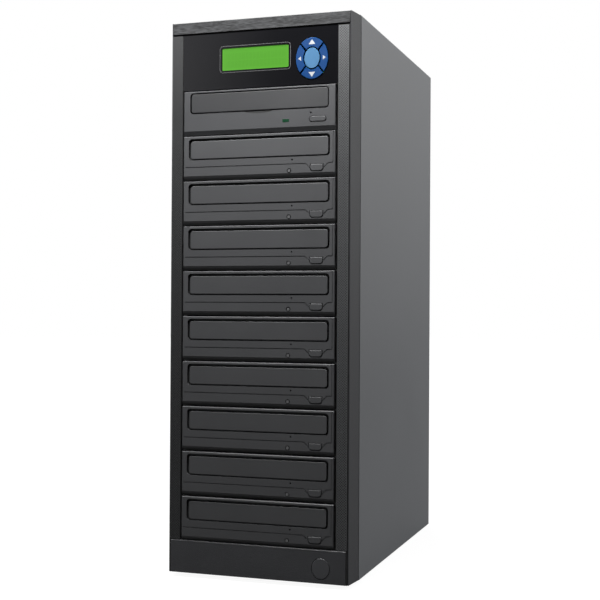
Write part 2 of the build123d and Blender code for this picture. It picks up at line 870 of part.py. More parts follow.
# --- cage sides: two plates that hold the drives, flanged onto the frame's web, standing on the base ---
cage_bottom = stack_bottom - cage_overlap
cage_top = panel_top - cage_overlap
cage_back_y = bezel_back_y + shell_depth + cage_tail
cage_leg_y = cover_front_y + cage_leg_setback
screw_places = [(depth, row + drive_screw_z) for depth in screw_depths for row in row_heights]
with BuildPart() as cage_sides:
    for side in (-1, 1):
        with BuildSketch(Plane.YZ.offset(side * cage_x)):
            Polygon(
                (web_back_y, cage_bottom),
                (cage_leg_y, cage_bottom),
                (cage_leg_y, base_top),
                (cage_back_y, base_top),
                (cage_back_y, cage_top),
                (web_back_y, cage_top),
                align=None,
            )
            with Locations(*screw_places):
                Circle(drive_screw_diameter / 2 + drive_screw_clearance, mode=Mode.SUBTRACT)
        extrude(amount=side * sheet)
        with BuildSketch(front_plane(web_back_y)):
            with Locations((side * (cage_x + cage_flange / 2), (cage_bottom + cage_top) / 2)):
                Rectangle(cage_flange, cage_top - cage_bottom)
        extrude(amount=-sheet)
        with BuildSketch(up_plane(base_top)):
            with Locations((side * (cage_x + cage_flange / 2), (cage_leg_y + cage_back_y) / 2)):
                Rectangle(cage_flange, cage_back_y - cage_leg_y)
        extrude(amount=sheet)
cage_sides.part.label = "cage_sides"
pieces.append(cage_sides.part)

# --- drive screws: pan heads outside the cage, shanks into the shells ---
with BuildPart() as drive_screws:
    for side in (-1, 1):
        with BuildSketch(Plane.YZ.offset(side * (cage_x + sheet))):
            with Locations(*screw_places):
                Circle(drive_screw_head_diameter / 2)
        extrude(amount=side * drive_screw_head)
        with BuildSketch(Plane.YZ.offset(side * (cage_x + sheet))):
            with Locations(*screw_places):
                Circle(drive_screw_diameter / 2)
        extrude(amount=-side * drive_screw_length)
drive_screws.part.label = "drive_screws"
pieces.append(drive_screws.part)

# --- chassis base: a floor plate with upturned sides just inside the cover ---
base_half = inside_width / 2 - sheet_clearance
with BuildPart() as chassis_base:
    with BuildSketch(front_plane(cover_front_y)):
        with Locations((0, foot_height + base_flange_height / 2)):
            Rectangle(2 * base_half, base_flange_height)
        with Locations((0, base_top + base_flange_height / 2)):
            Rectangle(2 * (base_half - sheet), base_flange_height, mode=Mode.SUBTRACT)
    extrude(amount=-(rear_panel_y - cover_front_y))
chassis_base.part.label = "chassis_base"
pieces.append(chassis_base.part)

# --- feet under the base ---
foot_x = base_half - foot_inset
foot_depths = (cover_front_y + foot_inset, back_y - foot_inset)
foot_places = [(side * foot_x, depth) for side in (-1, 1) for depth in foot_depths]
with BuildPart() as feet:
    with BuildSketch():
        with Locations(*foot_places):
            Circle(foot_diameter / 2)
    extrude(amount=foot_height)
    chamfer(feet.edges().group_by(Axis.Z)[0], bezel_chamfer)
feet.part.label = "feet"
pieces.append(feet.part)

# --- cover: top and both sides in one sheet, with a flange turned in at the back ---
thumb_x = cover_width / 2 - cover_flange / 2
thumb_span = cover_top - cover_floor_gap - 2 * thumb_end_margin
thumb_heights = [
    cover_floor_gap + thumb_end_margin + step * thumb_span / (thumb_rows - 1) for step in range(thumb_rows)
]
thumb_places = [(side * thumb_x, height) for side in (-1, 1) for height in thumb_heights]
cover_middle = (cover_floor_gap + cover_top) / 2
with BuildPart() as cover:
    with BuildSketch(front_plane(cover_front_y)) as cover_outline:
        with Locations((0, cover_middle)):
            Rectangle(cover_width, cover_top - cover_floor_gap)
        fillet(cover_outline.vertices().group_by(Axis.Y)[-1], cover_bend)
        with Locations((0, cover_middle - sheet)):
            Rectangle(inside_width, cover_top - cover_floor_gap, mode=Mode.SUBTRACT)
    extrude(amount=-(back_y - cover_front_y))
    with BuildSketch(front_plane(back_y - sheet)):
        with Locations((0, cover_middle - sheet / 2)):
            Rectangle(inside_width, cover_top - cover_floor_gap - sheet)
        with Locations((0, cover_middle - cover_flange)):
            Rectangle(cover_width - 2 * cover_flange, cover_top - cover_floor_gap, mode=Mode.SUBTRACT)
        with Locations(*thumb_places):
            Circle((thumb_shank_diameter + thumb_hole_clearance) / 2, mode=Mode.SUBTRACT)
    extrude(amount=-sheet)
cover.part.label = "cover"
pieces.append(cover.part)

# --- places at the back: the power supply stands on the base, the rear fans share the height above ---
psu_top = base_top + psu_height
psu_back_y = rear_panel_y
psu_front_y = psu_back_y - psu_depth
psu_fan_z = base_top + psu_height / 2
rear_fan_room = cover_top - sheet - psu_top
rear_fan_heights = [psu_top + (step + 0.5) * rear_fan_room / rear_fan_count for step in range(rear_fan_count)]
rear_fan_places = [(0, height) for height in rear_fan_heights]
psu_fan_place = (psu_fan_x, psu_fan_z)
socket_place = (socket_x, base_top + socket_z)
rocker_place = (rocker_x, base_top + rocker_z)

# --- rear panel ---
with BuildPart() as rear_panel:
    with BuildSketch(front_plane(rear_panel_y)):
        with Locations((0, (foot_height + cover_top - sheet - sheet_clearance) / 2)):
            Rectangle(2 * base_half, cover_top - sheet - sheet_clearance - foot_height)
        with Locations(*rear_fan_places):
            Circle(fan_bore / 2, mode=Mode.SUBTRACT)
            with GridLocations(fan_screw_pitch, fan_screw_pitch, 2, 2):
                Circle(fan_screw_diameter / 2, mode=Mode.SUBTRACT)
        with Locations((0, base_top + psu_height / 2)):
            Rectangle(
                psu_width - 2 * psu_window_margin, psu_height - 2 * psu_window_margin, mode=Mode.SUBTRACT
            )
        with Locations(*thumb_places):
            Circle(thumb_shank_diameter / 2 + lens_clearance, mode=Mode.SUBTRACT)
    extrude(amount=-sheet)
rear_panel.part.label = "rear_panel"
pieces.append(rear_panel.part)

# --- power supply's case, with its fan's grille hole, socket hole and switch hole ---
switch_body_width = rocker_width + 2 * (rocker_clearance + switch_wall)
switch_body_length = rocker_length + 2 * (rocker_clearance + switch_wall)
with BuildPart() as psu_case:
    with BuildSketch(front_plane(psu_front_y)):
        with Locations((0, base_top + psu_height / 2)):
            Rectangle(psu_width, psu_height)
    extrude(amount=-psu_depth)
    with BuildSketch(front_plane(psu_front_y + sheet)):
        with Locations((0, base_top + psu_height / 2)):
            Rectangle(psu_width - 2 * sheet, psu_height - 2 * sheet)
    extrude(amount=-(psu_depth - 2 * sheet), mode=Mode.SUBTRACT)
    with BuildSketch(front_plane(psu_back_y)):
        with Locations(psu_fan_place):
            Circle(fan_bore / 2)
            with GridLocations(fan_screw_pitch, fan_screw_pitch, 2, 2):
                Circle(fan_screw_diameter / 2)
        with Locations(socket_place):
            Rectangle(socket_body_width + 2 * sheet_clearance, socket_body_height + 2 * sheet_clearance)
        with Locations(rocker_place):
            Rectangle(switch_body_width + 2 * sheet_clearance, switch_body_length + 2 * sheet_clearance)
    extrude(amount=sheet, mode=Mode.SUBTRACT)
psu_case.part.label = "psu_case"
pieces.append(psu_case.part)

# --- mains socket with three blades ---
pin_places = [
    (socket_x - socket_pin_pitch / 2, socket_place[1] + socket_pin_line),
    (socket_x, socket_place[1] + socket_pin_line + socket_earth_rise),
    (socket_x + socket_pin_pitch / 2, socket_place[1] + socket_pin_line),
]
socket_mouth_y = psu_back_y + socket_flange_thickness
with BuildPart() as mains_inlet:
    with BuildSketch(front_plane(psu_back_y)):
        with Locations(socket_place):
            RectangleRounded(socket_flange_width, socket_flange_height, bezel_chamfer)
    extrude(amount=-socket_flange_thickness)
    with BuildSketch(front_plane(psu_back_y)):
        with Locations(socket_place):
            Rectangle(socket_body_width, socket_body_height)
    extrude(amount=socket_body_depth)
    with BuildSketch(front_plane(socket_mouth_y)) as socket_hollow:
        with Locations(socket_place):
            Rectangle(socket_width, socket_height)
        chamfer(socket_hollow.vertices().group_by(Axis.Y)[-1], socket_corner)
    extrude(amount=socket_depth, mode=Mode.SUBTRACT)
    with BuildSketch(front_plane(socket_mouth_y - socket_depth)):
        with Locations(*pin_places):
            Rectangle(socket_pin_width + 2 * lens_clearance, socket_pin_height + 2 * lens_clearance)
    extrude(amount=socket_body_depth, mode=Mode.SUBTRACT)
    with BuildSketch(front_plane(socket_mouth_y - socket_depth + socket_pin_length)):
        with Locations(*pin_places):
            Rectangle(socket_pin_width, socket_pin_height)
    extrude(amount=socket_pin_length + socket_terminal)
mains_inlet.part.label = "mains_inlet"
pieces.append(mains_inlet.part)

# --- mains switch: a frame in the case, and a rocker that tips about a level axis ---
with BuildPart() as switch_frame:
    with BuildSketch(front_plane(psu_back_y)):
        with Locations(rocker_place):
            Rectangle(switch_body_width + 2 * switch_flange, switch_body_length + 2 * switch_flange)
    extrude(amount=-switch_flange_thickness)
    with BuildSketch(front_plane(psu_back_y)):
        with Locations(rocker_place):
            Rectangle(switch_body_width, switch_body_length)
    extrude(amount=switch_body_depth)
    with BuildSketch(front_plane(psu_back_y + switch_flange_thickness)):
        with Locations(rocker_place):
            Rectangle(rocker_width + 2 * rocker_clearance, rocker_length + 2 * rocker_clearance)
    extrude(amount=switch_body_depth - switch_wall, mode=Mode.SUBTRACT)
switch_frame.part.label = "switch_frame"
pieces.append(switch_frame.part)

rocker_y = psu_back_y - switch_flange_thickness
rocker_plane = Plane(
    origin=(rocker_x, rocker_y, rocker_place[1]),
    x_dir=(0, cos(radians(rocker_angle)), sin(radians(rocker_angle))),
    z_dir=(1, 0, 0),
)
rocker_dip = rocker_length / 2 * sin(radians(rocker_angle))
rocker_crest = 3 * rocker_dip
with BuildPart() as switch_rocker:
    with BuildSketch(rocker_plane):
        Polygon(
            (-rocker_depth / 2, -rocker_length / 3),
            (-rocker_depth / 2, rocker_length / 3),
            (rocker_depth / 2 - rocker_dip, rocker_length / 2 - rocker_dip),
            (rocker_crest, rocker_length / 2 - rocker_dip),
            (rocker_crest - rocker_dip, 0),
            (rocker_crest, -rocker_length / 2 + rocker_dip),
            (rocker_depth / 2 - rocker_dip, -rocker_length / 2 + rocker_dip),
            align=None,
        )
    extrude(amount=rocker_width / 2, both=True)
switch_rocker.part.label = "switch_rocker"
pieces.append(switch_rocker.part)

# --- fans: a square housing with three arms, a motor and a shaft ---
fan_places = [(rear_panel_y, place) for place in rear_fan_places] + [(psu_back_y - sheet, psu_fan_place)]
with BuildPart() as fan_housings:
    for outlet_y, place in fan_places:
        with BuildSketch(front_plane(outlet_y)):
            with Locations(place):
                RectangleRounded(fan_size, fan_size, fan_screw_diameter)
                Circle(fan_bore / 2, mode=Mode.SUBTRACT)
                with GridLocations(fan_screw_pitch, fan_screw_pitch, 2, 2):
                    Circle(fan_screw_diameter / 2, mode=Mode.SUBTRACT)
        extrude(amount=fan_thickness)
        with BuildSketch(front_plane(outlet_y)):
            with Locations(place):
                Circle(fan_motor_diameter / 2)
                with PolarLocations(0, 3):
                    Rectangle((fan_bore + fan_arm_width) / 2, fan_arm_width, align=(Align.MIN, Align.CENTER))
        extrude(amount=fan_motor_depth)
        with BuildSketch(front_plane(outlet_y - fan_motor_depth)):
            with Locations(place):
                Circle(fan_shaft_diameter / 2)
        extrude(amount=fan_thickness - 2 * fan_motor_depth)
fan_housings.part.label = "fan_housings"
pieces.append(fan_housings.part)


def fan_rotor(outlet_y, place):
    """A hub on the housing's shaft, with pitched blades round it."""
    hub_back_y = outlet_y - fan_motor_depth - fan_hub_cap / 2
    hub_front_y = outlet_y - fan_thickness + fan_hub_cap
    shaft_end_y = outlet_y - fan_thickness + fan_motor_depth
    blade_y = (hub_back_y + hub_front_y) / 2
    tip = fan_bore / 2 - fan_tip_clearance
    with BuildPart() as rotor:
        for step in range(fan_blade_count):
            angle = radians(360 / fan_blade_count * step)
            blade_plane = Plane(
                origin=(place[0], blade_y, place[1]),
                x_dir=(-sin(angle), 0, cos(angle)),
                z_dir=(cos(angle), 0, sin(angle)),
            )
            with BuildSketch(blade_plane.offset(fan_hub_diameter / 3)):
                Rectangle(fan_blade_chord, fan_blade_thickness, rotation=fan_blade_pitch)
            extrude(amount=tip)
        with BuildSketch(front_plane(hub_back_y)):
            with Locations(place):
                Circle(tip)
        extrude(amount=hub_back_y - hub_front_y, mode=Mode.INTERSECT)
        with BuildSketch(front_plane(hub_back_y)):
            with Locations(place):
                Circle(fan_hub_diameter / 2)
        extrude(amount=hub_back_y - hub_front_y)
        with BuildSketch(front_plane(hub_back_y)):
            with Locations(place):
                Circle(fan_shaft_diameter / 2 + fan_shaft_clearance)
        extrude(amount=hub_back_y - shaft_end_y + fan_hub_cap / 2, mode=Mode.SUBTRACT)
    return rotor.part


rotor_names = ["fan_rotor_lower", "fan_rotor_upper", "psu_fan_rotor"]
for rotor_name, (outlet_y, place) in zip(rotor_names, fan_places):
    rotor_part = fan_rotor(outlet_y, place)
    rotor_part.label = rotor_name
    pieces.append(rotor_part)

# --- finger guards: wire rings on four arms that end in screw eyelets ---
fan_corner = fan_screw_pitch / 2**0.5
guard_places = [(rear_panel_y + sheet, place) for place in rear_fan_places] + [(psu_back_y, psu_fan_place)]
with BuildPart() as fan_guards:
    for guard_y, place in guard_places:
        with BuildSketch(front_plane(guard_y)):
            with Locations(place):
                for ring in guard_rings:
                    Circle(ring + guard_wire / 2)
                    Circle(ring - guard_wire / 2, mode=Mode.SUBTRACT)
                with PolarLocations(guard_rings[0], 4, start_angle=45):
                    Rectangle(fan_corner - guard_rings[0], guard_wire, align=(Align.MIN, Align.CENTER))
                with PolarLocations(fan_corner, 4, start_angle=45):
                    Circle(guard_eyelet_diameter / 2)
                    Circle(fan_screw_diameter / 2, mode=Mode.SUBTRACT)
        extrude(amount=-guard_wire)
fan_guards.part.label = "fan_guards"
pieces.append(fan_guards.part)

# --- screws at the back: thumb screws hold the cover, and a screw in each eyelet holds a guard and fan ---
fan_screw_places = [(guard_y + guard_wire, place) for guard_y, place in guard_places]
with BuildPart() as back_screws:
    with BuildSketch(front_plane(back_y)):
        with Locations(*thumb_places):
            Circle(thumb_head_diameter / 2)
    extrude(amount=-thumb_head)
    chamfer(back_screws.edges().group_by(Axis.Y)[-1], bezel_chamfer)
    with BuildSketch(front_plane(back_y)):
        with Locations(*thumb_places):
            Circle(thumb_shank_diameter / 2)
    extrude(amount=thumb_shank)
    for seat_y, place in fan_screw_places:
        with BuildSketch(front_plane(seat_y)):
            with Locations(place):
                with GridLocations(fan_screw_pitch, fan_screw_pitch, 2, 2):
                    Circle(fan_screw_head_diameter / 2)
        extrude(amount=-fan_screw_head)
        with BuildSketch(front_plane(seat_y)):
            with Locations(place):
                with GridLocations(fan_screw_pitch, fan_screw_pitch, 2, 2):
                    Circle(fan_screw_diameter / 2 - drive_screw_clearance)
        extrude(amount=fan_screw_length)
back_screws.part.label = "back_screws"
pieces.append(back_screws.part)

# --- controller: a shelf between the cage sides, and a board on standoffs with its port block ---
shelf_z = panel_bottom + shelf_drop
board_z = shelf_z + sheet + standoff_height
board_front_y = bezel_back_y + controller_setback
board_back_y = board_front_y + controller_depth
board_middle_y = (board_front_y + board_back_y) / 2
with BuildPart() as controller_shelf:
    with BuildSketch(up_plane(shelf_z)):
        with Locations((0, board_middle_y)):
            Rectangle(2 * (cage_x - drive_clearance), controller_depth + 2 * cage_flange)
    extrude(amount=sheet)
    with BuildSketch(up_plane(shelf_z + sheet)):
        with Locations((0, board_middle_y)):
            with GridLocations(
                controller_width - 2 * boss_inset, controller_depth - 2 * boss_inset, 2, 2
            ):
                Circle(standoff_diameter / 2)
    extrude(amount=standoff_height)
controller_shelf.part.label = "controller_shelf"
pieces.append(controller_shelf.part)

port_block_height = drive_count * data_cable_pitch + data_cable_thickness
with BuildPart() as controller_board:
    with BuildSketch(up_plane(board_z)):
        with Locations((0, board_middle_y)):
            Rectangle(controller_width, controller_depth)
    extrude(amount=board_thickness)
    with BuildSketch(up_plane(board_z + board_thickness)):
        with Locations((-chip_size, board_middle_y)):
            Rectangle(chip_size, chip_size)
        with Locations((chip_size, board_middle_y - chip_size)):
            Rectangle(chip_size / 2, chip_size)
    extrude(amount=chip_height)
    with BuildSketch(up_plane(board_z + board_thickness)):
        with Locations((data_cable_x, board_back_y - port_block_depth / 2)):
            Rectangle(port_block_width, port_block_depth)
    extrude(amount=port_block_height)
controller_board.part.label = "controller_board"
pieces.append(controller_board.part)

# --- data cables: flat leads from each drive's back, nested up behind the stack to the port block ---
shell_back_y = bezel_back_y + shell_depth
port_z = board_z + board_thickness + data_cable_pitch
with BuildPart() as data_cables:
    for order, row in enumerate(reversed(row_heights)):
        climb_y = shell_back_y + data_cable_clearance + order * data_cable_pitch
        start_z = row + connector_height
        end_z = port_z + order * data_cable_pitch
        with BuildSketch(Plane.YZ.offset(data_cable_x)):
            with BuildLine():
                FilletPolyline(
                    (shell_back_y, start_z),
                    (climb_y, start_z),
                    (climb_y, end_z),
                    (board_back_y, end_z),
                    radius=data_cable_bend,
                )
            trace(line_width=data_cable_thickness)
        extrude(amount=data_cable_width / 2, both=True)
data_cables.part.label = "data_cables"
pieces.append(data_cables.part)

# --- power loom: one trunk up behind the stack, a lead to each drive and one to the supply ---
loom_y = shell_back_y + loom_offset
loom_feed_z = psu_top - 2 * loom_width
with BuildPart() as power_harness:
    with BuildSketch(front_plane(loom_y)):
        with Locations((loom_x, (row_heights[0] + reader_row) / 2 + connector_height)):
            Rectangle(loom_width, reader_row - row_heights[0] + loom_branch_height)
    extrude(amount=-loom_thickness)
    with BuildSketch(front_plane(shell_back_y)):
        with Locations(*[(loom_x, row + connector_height) for row in row_heights]):
            Rectangle(loom_width, loom_branch_height)
    extrude(amount=-loom_offset)
    with BuildSketch(front_plane(loom_y)):
        with Locations((loom_x, loom_feed_z)):
            Rectangle(loom_width, loom_branch_height)
    extrude(amount=loom_y - psu_front_y)
power_harness.part.label = "power_harness"
pieces.append(power_harness.part)

# --- one STEP file for each piece ---
os.makedirs("parts", exist_ok=True)
for piece in pieces:
    export_step(piece, f"parts/{piece.label}.step")
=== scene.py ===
import json
from math import atan2, cos, pi, sin, sqrt

import bmesh
import bpy
from bpy.props import FloatProperty, FloatVectorProperty, IntProperty, PointerProperty
from mathutils import Matrix, Vector


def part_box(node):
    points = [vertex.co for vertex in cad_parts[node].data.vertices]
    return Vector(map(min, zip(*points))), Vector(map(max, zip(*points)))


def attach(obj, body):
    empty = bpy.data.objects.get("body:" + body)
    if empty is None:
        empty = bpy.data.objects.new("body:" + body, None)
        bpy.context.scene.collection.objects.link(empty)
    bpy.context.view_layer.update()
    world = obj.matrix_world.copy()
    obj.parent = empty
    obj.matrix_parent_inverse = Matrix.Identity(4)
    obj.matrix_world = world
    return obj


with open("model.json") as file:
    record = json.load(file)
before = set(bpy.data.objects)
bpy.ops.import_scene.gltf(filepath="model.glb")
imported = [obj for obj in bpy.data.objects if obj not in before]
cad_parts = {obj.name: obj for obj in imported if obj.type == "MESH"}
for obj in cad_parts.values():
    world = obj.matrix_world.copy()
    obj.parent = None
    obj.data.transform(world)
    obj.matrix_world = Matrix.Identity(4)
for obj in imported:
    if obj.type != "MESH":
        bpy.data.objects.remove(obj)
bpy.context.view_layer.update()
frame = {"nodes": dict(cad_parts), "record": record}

bl_info = {
    "name": "Disc Duplicator Tower",
    "version": (1, 0, 0),
    "blender": (4, 5, 0),
    "location": "View3D > Sidebar > Duplicator",
    "description": "Finishes and fine pieces for a tower that copies discs",
    "category": "Add Mesh",
}

MM = 0.001
DARK = (0.028, 0.028, 0.030)
# Repeating patterns are counted from this far off, in metres.
PATTERN_START = 1.0

LAMPS = (
    # setting, place, target, size
    ("top_lamp", (-0.03, -0.41, 0.79), (0.0, -0.17, 0.34), 0.32),
    ("side_lamp", (1.60, 0.80, 1.05), (0.08, 0.10, 0.36), 1.2),
    ("fill_lamp", (-1.75, 0.55, 0.90), (-0.08, 0.0, 0.30), 1.0),
    ("back_lamp", (-0.9, 1.5, 1.2), (0.0, 0.15, 0.28), 1.2),
)


# ---------------------------------------------------------------- settings


def colour(name, description, default):
    return FloatVectorProperty(
        name=name, description=description, default=default, subtype="COLOR", size=3, min=0, max=1
    )


def length(name, description, default):
    return FloatProperty(name=name, description=description, default=default, unit="LENGTH", min=0)


def power(name, description, default):
    return FloatProperty(name=name, description=description, default=default, unit="POWER", min=0)


def angle(name, description, default):
    return FloatProperty(name=name, description=description, default=default, subtype="ANGLE")


class DUPLICATOR_Colours(bpy.types.PropertyGroup):
    cover: colour("Cover", "Powder coat of the steel cover", (0.150, 0.156, 0.166))
    frame: colour("Front frame", "Moulded frame and its flanks", (0.046, 0.047, 0.051))
    mesh: colour("Side mesh", "Diamond mesh down both sides", (0.077, 0.079, 0.082))
    strip: colour("Top strip", "Grained strip over the panel", (0.023, 0.0235, 0.0245))
    bar: colour("Bottom bar", "Plain bar under the drives", (0.046, 0.047, 0.051))
    panel: colour("Panel", "Polished control panel", (0.005, 0.005, 0.006))
    writer: colour("Writers", "Bezels, doors and buttons of the writers", (0.056, 0.057, 0.060))
    reader: colour("Reader", "Bezel, door and button of the reader", (0.044, 0.045, 0.048))
    key: colour("Outer keys", "The four keys round the centre", (0.002, 0.034, 0.128))
    centre_key: colour("Centre key", "The oval key in the middle", (0.050, 0.135, 0.250))
    display: colour("Display", "Lit field of the display", (0.112, 0.430, 0.035))
    steel: colour("Bare steel", "Plated sheet of the chassis", (0.560, 0.570, 0.580))
    arrow: colour("Arrows", "Printed arrows on the keys", (0.360, 0.370, 0.380))
    outline: colour("Outline", "Line round the display", (0.046, 0.046, 0.048))


class DUPLICATOR_Sizes(bpy.types.PropertyGroup):
    mesh_columns: IntProperty(
        name="Mesh columns", description="Diamonds across one side mesh", default=4, min=2, max=12
    )
    mesh_rise: length("Mesh pitch", "Height of one diamond of the side mesh", 2.4 * MM)
    mesh_wire: length("Mesh wire", "Width of the wires between the holes", 0.62 * MM)
    mesh_relief: length("Mesh relief", "How far the wires stand off the strip", 0.3 * MM)
    module_border: length("Module border", "From the display module's edge to its window", 6.0 * MM)
    outline_margin: length("Outline margin", "From the display's window to the line round it", 1.6 * MM)
    outline_width: length("Outline width", "Width of the line round the display", 0.55 * MM)
    outline_corner: length("Outline corner", "Radius of the corners of the line", 3.4 * MM)
    outline_relief: length("Outline relief", "How far the line stands off the panel", 0.15 * MM)
    arrow_width: length("Arrow width", "Width of the arrow on a key", 6.4 * MM)
    arrow_height: length("Arrow height", "Height of the arrow on a key", 4.5 * MM)
    arrow_corner: length("Arrow corner", "Radius of the corners of an arrow", 0.25 * MM)
    arrow_relief: length("Arrow relief", "How far an arrow stands off its key", 0.08 * MM)


class DUPLICATOR_Studio(bpy.types.PropertyGroup):
    top_lamp: power("Top lamp", "Power of the lamp over the front", 7.2)
    side_lamp: power("Side lamp", "Power of the lamp at the right", 25)
    fill_lamp: power("Fill lamp", "Power of the lamp at the left", 16)
    back_lamp: power("Back lamp", "Power of the lamp behind", 26)
    ambient: FloatProperty(
        name="Ambient", description="Light of the room on matt surfaces", default=0.02, min=0
    )
    floor: colour("Floor", "Pale floor under the tower", (0.80, 0.80, 0.80))
    camera_place: FloatVectorProperty(
        name="Camera place", description="The viewpoint", default=(0.37938, -1.18494, 0.25281),
        subtype="TRANSLATION", unit="LENGTH",
    )
    camera_yaw: angle("Camera yaw", "Turn of the view to the left", 0.3219)
    camera_pitch: angle("Camera pitch", "Rise of the view", 0.0080)
    camera_roll: angle("Camera roll", "Tilt of the view", 0.0057)
    camera_lens: FloatProperty(
        name="Camera lens", description="Focal length", default=70.2, subtype="DISTANCE_CAMERA"
    )


# ---------------------------------------------------------------- shader tools


class Signal:
    """A socket in arithmetic: an expression on signals adds its Math nodes to the tree."""

    def __init__(self, nodes, socket):
        self.nodes = nodes
        self.socket = socket

    def math(self, operation, *values):
        return self.nodes.node("ShaderNodeMath", {"operation": operation}, dict(enumerate(values)))

    def __add__(self, other):
        return self.math("ADD", self, other)

    def __sub__(self, other):
        return self.math("SUBTRACT", self, other)

    def __rsub__(self, other):
        return self.math("SUBTRACT", other, self)

    def __mul__(self, other):
        return self.math("MULTIPLY", self, other)

    def __mod__(self, other):
        return self.math("FLOORED_MODULO", self, other)

    def __gt__(self, other):
        return self.math("GREATER_THAN", self, other)

    def __lt__(self, other):
        return self.math("LESS_THAN", self, other)

    def __abs__(self):
        return self.math("ABSOLUTE", self)

    __radd__ = __add__
    __rmul__ = __mul__

    def most(self, other):
        return self.math("MAXIMUM", self, other)

    def within(self, low, high):
        return (self > low) * (self < high)

    def clamped(self):
        return self.nodes.node("ShaderNodeClamp", None, {"Value": self})


class Nodes:
    """A node tree, with the one method that adds nodes to it."""

    def __init__(self, tree):
        self.tree = tree

    def node(self, kind, settings=None, inputs=None, output=0):
        node = self.tree.nodes.new(kind)
        for name, value in (settings or {}).items():
            setattr(node, name, value)
        for name, value in (inputs or {}).items():
            self.feed(node.inputs[name], value)
        return Signal(self, node.outputs[output])

    def feed(self, socket, value):
        if isinstance(value, Signal):
            self.tree.links.new(value.socket, socket)
        elif socket.type == "RGBA":
            socket.default_value = (*value, 1)[:4]
        else:
            socket.default_value = value

    def split(self, vector):
        node = self.tree.nodes.new("ShaderNodeSeparateXYZ")
        self.feed(node.inputs[0], vector)
        return [Signal(self, socket) for socket in node.outputs]

    def ray(self, kind):
        return self.node("ShaderNodeLightPath", output=f"Is {kind} Ray")


class Finish(Nodes):
    """A material in the making."""

    def __init__(self, name, **constants):
        self.material = bpy.data.materials.new(name)
        self.material.use_nodes = True
        super().__init__(self.material.node_tree)
        self.shader = self.tree.nodes["Principled BSDF"]
        for socket, value in constants.items():
            self.shader.inputs[socket.replace("_", " ")].default_value = value
        self.place = self.node("ShaderNodeTexCoord", output="Object")
        self.x, self.y, self.z = self.split(self.place)

    def noise(self, per_metre, detail=2.0, stretch=(1, 1, 1)):
        place = self.node("ShaderNodeVectorMath", {"operation": "MULTIPLY"}, {0: self.place, 1: stretch})
        return self.node("ShaderNodeTexNoise", None, {"Vector": place, "Scale": per_metre, "Detail": detail})

    def cells(self, per_metre):
        return self.node("ShaderNodeTexVoronoi", None, {"Vector": self.place, "Scale": per_metre})

    def mix(self, first, second, share):
        return self.node("ShaderNodeMix", {"data_type": "RGBA"}, {0: share, 6: first, 7: second}, output=2)

    def edges(self):
        """1 where the surface is slanted, as on chamfers and rounded edges, and 0 on faces along an axis."""
        facing = self.node("ShaderNodeTexCoord", output="Normal")
        across, along, upward = (abs(part) for part in self.split(facing))
        sharpness = 5
        return ((1 - across.most(along).most(upward)) * sharpness).clamped()

    def set(self, socket, value):
        self.feed(self.shader.inputs[socket], value)

    def relief(self, height, depth, strength=1.0):
        bump = self.node("ShaderNodeBump", None, {"Strength": strength, "Distance": depth, "Height": height})
        self.feed(self.shader.inputs["Normal"], bump)


def scaled(tone, factor):
    """A colour made lighter or darker."""
    return tuple(min(1.0, part * factor) for part in tone)


# ---------------------------------------------------------------- finishes


def moulded(
    name, tone, roughness=0.46, grain=1500, depth=0.00006, mottle=0.10, edge_highlight=0.18,
    shade_from=None, shade_above=0.0, **constants,
):
    """Moulded plastic: an etched grain, a cloudy tone, a painted highlight on its edges, and painted shade
    behind a given depth.
    """
    finish = Finish(name, **constants)
    cloud = finish.noise(28, 3.0)
    speckle = finish.noise(grain, 1.0)
    body = finish.mix(scaled(tone, 1 - mottle), scaled(tone, 1 + mottle), cloud * 0.6 + speckle * 0.4)
    # Painted highlight: chamfers and rounded edges are painted lighter.
    body = finish.mix(body, scaled(tone, 2.1), finish.edges() * edge_highlight)
    # Painted shade: behind the given depth, where gaps and recesses fall in shade, the plastic is painted
    # darker.
    if shade_from is not None:
        fade = 0.7 * MM
        painted_gap_shade = ((finish.y - shade_from) * (1 / fade)).clamped() * (finish.z > shade_above)
        body = finish.mix(body, scaled(tone, 0.3), painted_gap_shade)
    finish.set("Base Color", body)
    finish.set("Roughness", roughness - 0.06 + cloud * 0.12)
    finish.relief(finish.cells(grain) + speckle, depth)
    return finish.material


def polished(name, tone, roughness=0.07, edge_highlight_tone=None, **constants):
    """Polished plastic: a clear deep surface with faint wipe marks and an uneven sheen."""
    finish = Finish(name, **constants)
    smear = finish.noise(22, 4.0, (1, 1, 3))
    rub = finish.noise(900, 1.0, (0.1, 1, 1))
    body = finish.mix(scaled(tone, 0.92), scaled(tone, 1.08), smear)
    # Painted highlight: slanted edges are painted towards a paler tone.
    if edge_highlight_tone:
        body = finish.mix(body, edge_highlight_tone, finish.edges() * 0.8)
    finish.set("Base Color", body)
    finish.set("Roughness", roughness + (smear * 0.6 + rub * 0.4) * 0.06)
    finish.relief(finish.noise(160, 2.0), 0.00002, 0.3)
    return finish.material


def key_cap(name, tone, face):
    """A satin key: a paler rim round its face, a painted highlight, and walls painted darker with depth
    behind the face, a painted shade.
    """
    finish = Finish(name, Specular_IOR_Level=0.3)
    cloud = finish.noise(120, 3.0)
    body = finish.mix(scaled(tone, 0.92), scaled(tone, 1.08), cloud)
    wall_shade_from = face + 0.35 * MM
    # Painted highlight: the rounded rim in front of the walls is painted paler.
    rim = (finish.y < wall_shade_from) * finish.edges()
    body = finish.mix(body, scaled(tone, 1.7), rim * 0.7)
    # Painted shade: the key's walls behind its face are painted near black.
    finish.set("Base Color", finish.mix(body, scaled(tone, 0.12), finish.y > wall_shade_from))
    finish.set("Roughness", 0.26 + cloud * 0.1)
    finish.relief(finish.noise(1400, 1.0), 0.00003, 0.5)
    return finish.material


